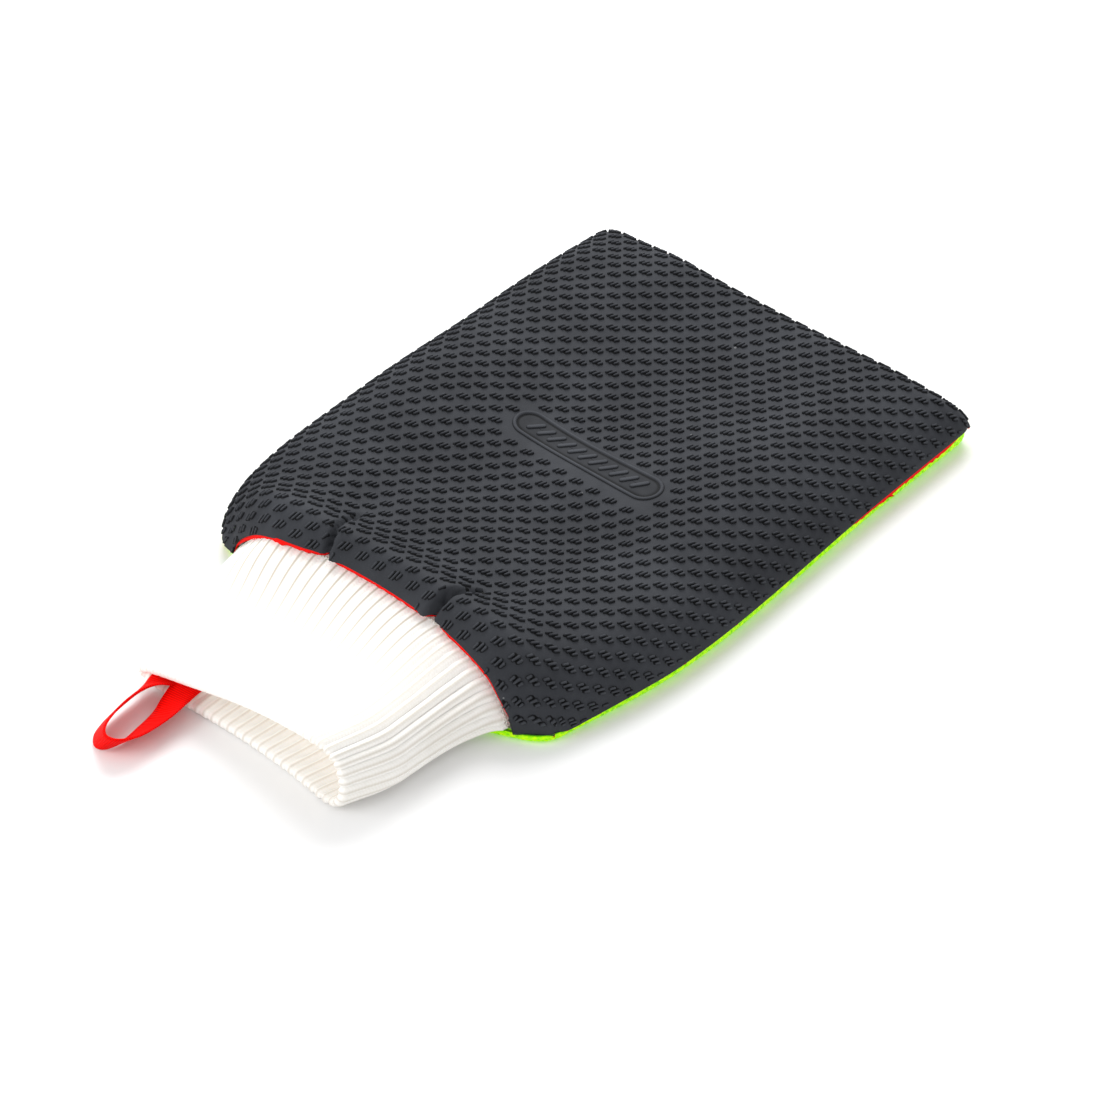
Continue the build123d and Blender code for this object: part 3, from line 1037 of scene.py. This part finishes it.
def make_cuff():
    """Rib knit folded double at the lip: outside, round the fold, and back up the inside."""
    count = RIB_COUNT * RIB_SAMPLES
    full = -LIP_T
    fold = CUFF_WALL / 2
    stations = [(d, 0.0) for d in np.linspace(-3, full - fold, 38)]
    for turn in np.linspace(0, math.pi, 9)[1:-1]:
        stations.append((full - fold + fold * math.sin(turn), fold * (1 - math.cos(turn))))
    stations += [(d, CUFF_WALL) for d in np.linspace(full - fold, -2, 28)]
    phase = np.abs(np.arange(count) / RIB_SAMPLES % 1 - 0.5)
    crisp = 1 - np.exp(-(phase / 0.13) ** 2)
    round_rib = np.sin(np.clip(phase * 2, 0, 1) * math.pi / 2) ** 0.7
    rows, uv, gathers = [], [], []
    for k, (d, inset) in enumerate(stations):
        x, z = cuff_section(d, count)
        run_x, run_z = np.roll(x, -2) - np.roll(x, 2), np.roll(z, -2) - np.roll(z, 2)
        out = unit(np.stack([-run_z, run_x], -1))
        if k == 0:
            facing = 1.0 if (out[:, 1] * (z - z.mean())).sum() > 0 else -1.0
        out = out * facing
        bunched = np.maximum(smooth(x, 15, 42), smooth(z, 12, 5) * smooth(d, 30, 50))
        if inset == CUFF_WALL:
            bunched = np.maximum(bunched, smooth(full - d, 2.5, 8))
        rib = crisp * (1 - bunched) + round_rib * bunched
        at_lip = smooth(d, full - 9, full - 3) * (1 - smooth(x, 24, 40))
        sewn_flat = 0.5 + 0.5 * smooth(d, 0, 9)
        stretched = 0.5 - 0.34 * smooth(d, 14, 34)
        height = RIB_DEPTH * (stretched + 0.85 * bunched) * sewn_flat * (1 - 0.7 * at_lip) * (rib - 1)
        gathers.append(np.broadcast_to(bunched, x.shape))
        lean = 1 - inset / fold
        back = math.sqrt(max(1 - lean ** 2, 0))
        wobble = 0.5 * np.sin(x / 13 + d / 9) * np.sin(d / 17)
        x = x + out[:, 0] * (-inset + height * lean)
        z = z + out[:, 1] * (-inset + height * lean + wobble * (inset == 0))
        t = cuff_t(x, z, d) - height * back
        z = np.maximum(z, 0.1)
        rows.append(np.stack([x, t + MOUTH_Y, z], -1))
        along = d if inset == 0 else 2 * full - d
        uv.append(np.stack([np.arange(count) / RIB_SAMPLES, np.full(count, along * MM)], -1))
    points = np.concatenate(rows)
    faces = grid_faces(len(rows), count, wrap=True)
    return make_mesh("knit_cuff", points, faces, KNIT, np.concatenate(uv), relief=np.concatenate(gathers))


cuff = make_cuff()
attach(cuff, "mitt")
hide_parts("rib_cuff")


# ---------------------------------------------------------------- hang loop

# Set starting from points on the loop in the photo that a fitted camera carried into
# the mitt's frame outside this script
RIBBON_ROUTE = (
    # x from the loop's middle, t, z, and how far the ribbon's width leans up towards +X, degrees
    (-4.6, LIP_T + 9, 4.9, 2),
    (-5.2, LIP_T + 3, 5.2, 6),
    (-6.0, LIP_T - 2, 5.6, 36),
    (-6.5, LIP_T - 7.5, 5.9, 50),
    (-6.2, LIP_T - 14, 5.8, 54),
    (-5.2, LIP_T - 20.5, 5.5, 54),
    (-3.4, LIP_T - 25.6, 5.2, 54),
    (-0.2, LIP_T - 28.2, 4.9, 55),
    (3.2, LIP_T - 26.8, 4.7, 50),
    (5.3, LIP_T - 21.5, 4.4, 42),
    (5.4, LIP_T - 15, 4.3, 34),
    (5.0, LIP_T - 8, 4.6, 27),
    (4.0, LIP_T - 2, 5.7, 14),
    (3.0, LIP_T + 4, 6.3, 4),
    (2.6, LIP_T + 9, 6.0, 2),
)


def through(stations, count):
    """A smooth curve through stations, evenly spaced in its parameter."""
    stations = np.array(stations, dtype=float)
    before = 2 * stations[0] - stations[1]
    after = 2 * stations[-1] - stations[-2]
    knots = np.vstack([before, stations, after])
    place = np.linspace(0, len(stations) - 1.0001, count)
    k = place.astype(int)
    f = (place - k)[:, None]
    p0, p1, p2, p3 = knots[k], knots[k + 1], knots[k + 2], knots[k + 3]
    return 0.5 * (2 * p1 + (p2 - p0) * f + (2 * p0 - 5 * p1 + 4 * p2 - p3) * f ** 2
                  + (3 * p1 - p0 - 3 * p2 + p3) * f ** 3)


def make_ribbon():
    """The hang loop: one flat ribbon from its first sewn end, round the bend, to its second."""
    path = through(RIBBON_ROUTE, 150)
    centre = np.stack([LOOP_X + path[:, 0], path[:, 1] + MOUTH_Y, path[:, 2]], -1)
    forward = unit(np.gradient(centre, axis=0))
    lean = np.radians(path[:, 3])
    across = np.stack([np.cos(lean), 0 * lean, np.sin(lean)], -1)
    normal = unit(np.cross(forward, across))
    run = run_along(np.linalg.norm(np.diff(centre, axis=0), axis=1))
    half, thin = RIBBON_WIDTH / 2, RIBBON_THICKNESS / 2
    columns = np.linspace(-1, 1, 9)
    section = [(u * half, thin) for u in columns] + [(half + 0.2, 0)]
    section += [(u * half, -thin) for u in columns[::-1]] + [(-half - 0.2, 0)]
    points, uv = [], []
    for i in range(len(centre)):
        for u, v in section:
            points.append(centre[i] + across[i] * u + normal[i] * v)
            uv.append((u / RIBBON_WIDTH + 0.5, run[i] * MM))
    faces = grid_faces(len(centre), len(section), wrap=True).tolist()
    last = (len(centre) - 1) * len(section)
    faces.append(list(range(len(section)))[::-1])
    faces.append([last + k for k in range(len(section))])
    return make_mesh("ribbon_loop", points, faces, RIBBON, uv), run[-1]


ribbon, ribbon_length = make_ribbon()
lip_y = LIP_T + MOUTH_Y
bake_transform(ribbon)
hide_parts("hang_loop", "loop_ends")


# ---------------------------------------------------------------- threads

def thread(name, route, radius, material, closed=False):
    """A round thread through route's points, in millimetres."""
    curve = bpy.data.curves.new(name, "CURVE")
    curve.dimensions = "3D"
    curve.bevel_depth = radius * MM
    curve.bevel_resolution = 2
    spline = curve.splines.new("POLY")
    spline.points.add(len(route) - 1)
    for point, place in zip(spline.points, route):
        point.co = (*(np.asarray(place) * MM), 1)
    spline.use_cyclic_u = closed
    curve.materials.append(material)
    piece = bpy.data.objects.new(name, curve)
    bpy.context.collection.objects.link(piece)
    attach(piece, "mitt")
    return piece


def make_edge_stitch():
    """Overlock thread zigzagging over the seam allowance inside the sides and the tip."""
    count, mouth_gap = 900, 12
    x, t = back_outline(4.5, count)
    inner_x, inner_t = back_outline(7.5, count)
    route = []
    for k in range(count):
        if t[k] > mouth_gap:
            outer = k % 2
            place = (x[k], t[k]) if outer else (inner_x[k], inner_t[k])
            route.append((place[0], place[1] + MOUTH_Y, 5.2 + 0.3 * outer))
    start = max(range(len(route) - 1), key=lambda k: math.dist(route[k], route[k + 1])) + 1
    return thread("overlock_thread", route[start:] + route[:start], THREAD_RADIUS, DARK_THREAD)


def make_mouth_stitch():
    """Seam thread round the start of the cuff, under the rolled edge of the front."""
    count, seam_d = 480, -1.5
    x, z = cuff_section(seam_d, count)
    route = []
    for k in range(count):
        t = cuff_t(x[k], z[k], seam_d)
        side = 0.35 if k % 2 else -0.35
        route.append((x[k] * 1.003, t + side + MOUTH_Y, max(z[k] + 0.1, 0.5)))
    return thread("mouth_seam_thread", route, 0.2, WHITE_THREAD, closed=True)


def make_closing_stitch():
    """Thread that closes the knit into a tube, zigzagging along the inside of its left edge."""
    route = []
    for k, d in enumerate(np.linspace(4, -LIP_T - 4, 60)):
        x, z = (values[0] for values in cuff_section(d, 60))
        inner_x = x + CUFF_WALL + 0.4 + (0.5 if k % 2 else 0.0)
        route.append((inner_x, cuff_t(x, z, d) + MOUTH_Y, z))
    return thread("cuff_closing_thread", route, 0.2, WHITE_THREAD)


def make_bar_tack(name, centre, across, along, width, rows, material):
    """A dense zigzag of thread between two lines."""
    centre, across, along = (np.array(v, dtype=float) for v in (centre, across, along))
    route = []
    for k in range(rows):
        side = 0.5 if k % 2 else -0.5
        route.append(centre + across * side * width + along * (k / (rows - 1) - 0.5))
    return thread(name, route, THREAD_RADIUS, material)


edge_stitch = make_edge_stitch()
mouth_stitch = make_mouth_stitch()
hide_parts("edge_stitch")
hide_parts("mouth_stitch")
for (seam_x, drift, _, _), node in zip(PLEATS, ("pleat_tack_left", "pleat_tack_right")):
    under = front_points(np.array([seam_x]), np.array([8.0]), -LINING_DEPTH - 0.4)[0]
    tack = make_bar_tack(node + "_thread", under, (1, 0, 0), (drift, 7.0, 0), 2.0, 26, DARK_THREAD)
    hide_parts(node)
closing = make_closing_stitch()
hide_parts("cuff_closing_stitch")
loop_tack = make_bar_tack(
    "loop_bar_tack", (LOOP_X - 1, lip_y + 6, 6.2), (0, 1, 0), (16, 0, 0), 2.4, 60, RED_THREAD)
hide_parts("loop_tack")


# ---------------------------------------------------------------- floor, light and camera

def make_floor():
    """A plain pale floor, seamless to the horizon."""
    s = Shader("floor", 0.75, Specular_IOR_Level=0.15)
    tone = s.noise(s.place(), 6, 2)
    s.colour(s.ramp(tone, (0.3, (0.88, 0.88, 0.885)), (0.7, (0.9, 0.9, 0.9))))
    size = 3000
    corners = [(-size, -size, 0), (size, -size, 0), (size, size, 0), (-size, size, 0)]
    floor = make_mesh("floor", corners, [(0, 1, 2, 3)], s.material, smooth_shading=False)


def make_light(name, place, size, power):
    """A square white soft box, in metres and watts, aimed at the origin."""
    data = bpy.data.lights.new(name, "AREA")
    data.size = size
    data.energy = power
    light = bpy.data.objects.new(name, data)
    aim(light, np.array(place, dtype=float), unit(np.array(place, dtype=float)))
    bpy.context.collection.objects.link(light)


def aim(thing, place, back, roll=0.0):
    """Puts a light or camera at place in metres, its back towards back."""
    right = unit(np.cross((0, 0, 1), back))
    up = np.cross(back, right)
    c, s = math.cos(roll), math.sin(roll)
    right, up = right * c + up * s, up * c - right * s
    matrix = np.eye(4)
    matrix[:3, 0], matrix[:3, 1], matrix[:3, 2], matrix[:3, 3] = right, up, back, place
    thing.matrix_world = Matrix(matrix.tolist())


# The camera's angles, distance and target were fitted to the mitt's corners in the photo, outside
# this script
CAMERA_AZIMUTH, CAMERA_ELEVATION, CAMERA_ROLL = (math.radians(v) for v in (41.45, 39.95, -0.13))
CAMERA_DISTANCE = 1.0195
CAMERA_TARGET = np.array([8.64, 78.63 + MOUTH_Y, 10.0]) * MM
CAMERA_LENS, CAMERA_SHIFT_Y = 104.7, -0.03


def make_camera():
    """The camera at the photo's viewing angle."""
    azimuth, elevation = CAMERA_AZIMUTH, CAMERA_ELEVATION
    back = np.array([
        math.sin(azimuth) * math.cos(elevation),
        -math.cos(azimuth) * math.cos(elevation),
        math.sin(elevation),
    ])
    data = bpy.data.cameras.new("camera")
    data.sensor_width = 36.0
    data.lens = CAMERA_LENS
    data.shift_y = CAMERA_SHIFT_Y
    camera = bpy.data.objects.new("camera", data)
    aim(camera, CAMERA_TARGET + back * CAMERA_DISTANCE, back, CAMERA_ROLL)
    bpy.context.collection.objects.link(camera)
    bpy.context.scene.camera = camera


make_floor()
make_light("key", (-0.6, 0.8, 0.95), 0.9, 17)
make_light("fill", (-0.5, -0.9, 0.6), 0.8, 5.5)
make_camera()
world = bpy.data.worlds.new("studio")
world.use_nodes = True
world.node_tree.nodes["Background"].inputs["Color"].default_value = (1, 1, 1, 1)
world.node_tree.nodes["Background"].inputs["Strength"].default_value = 0.8
bpy.context.scene.world = world
bpy.context.scene.view_settings.view_transform = "Standard"
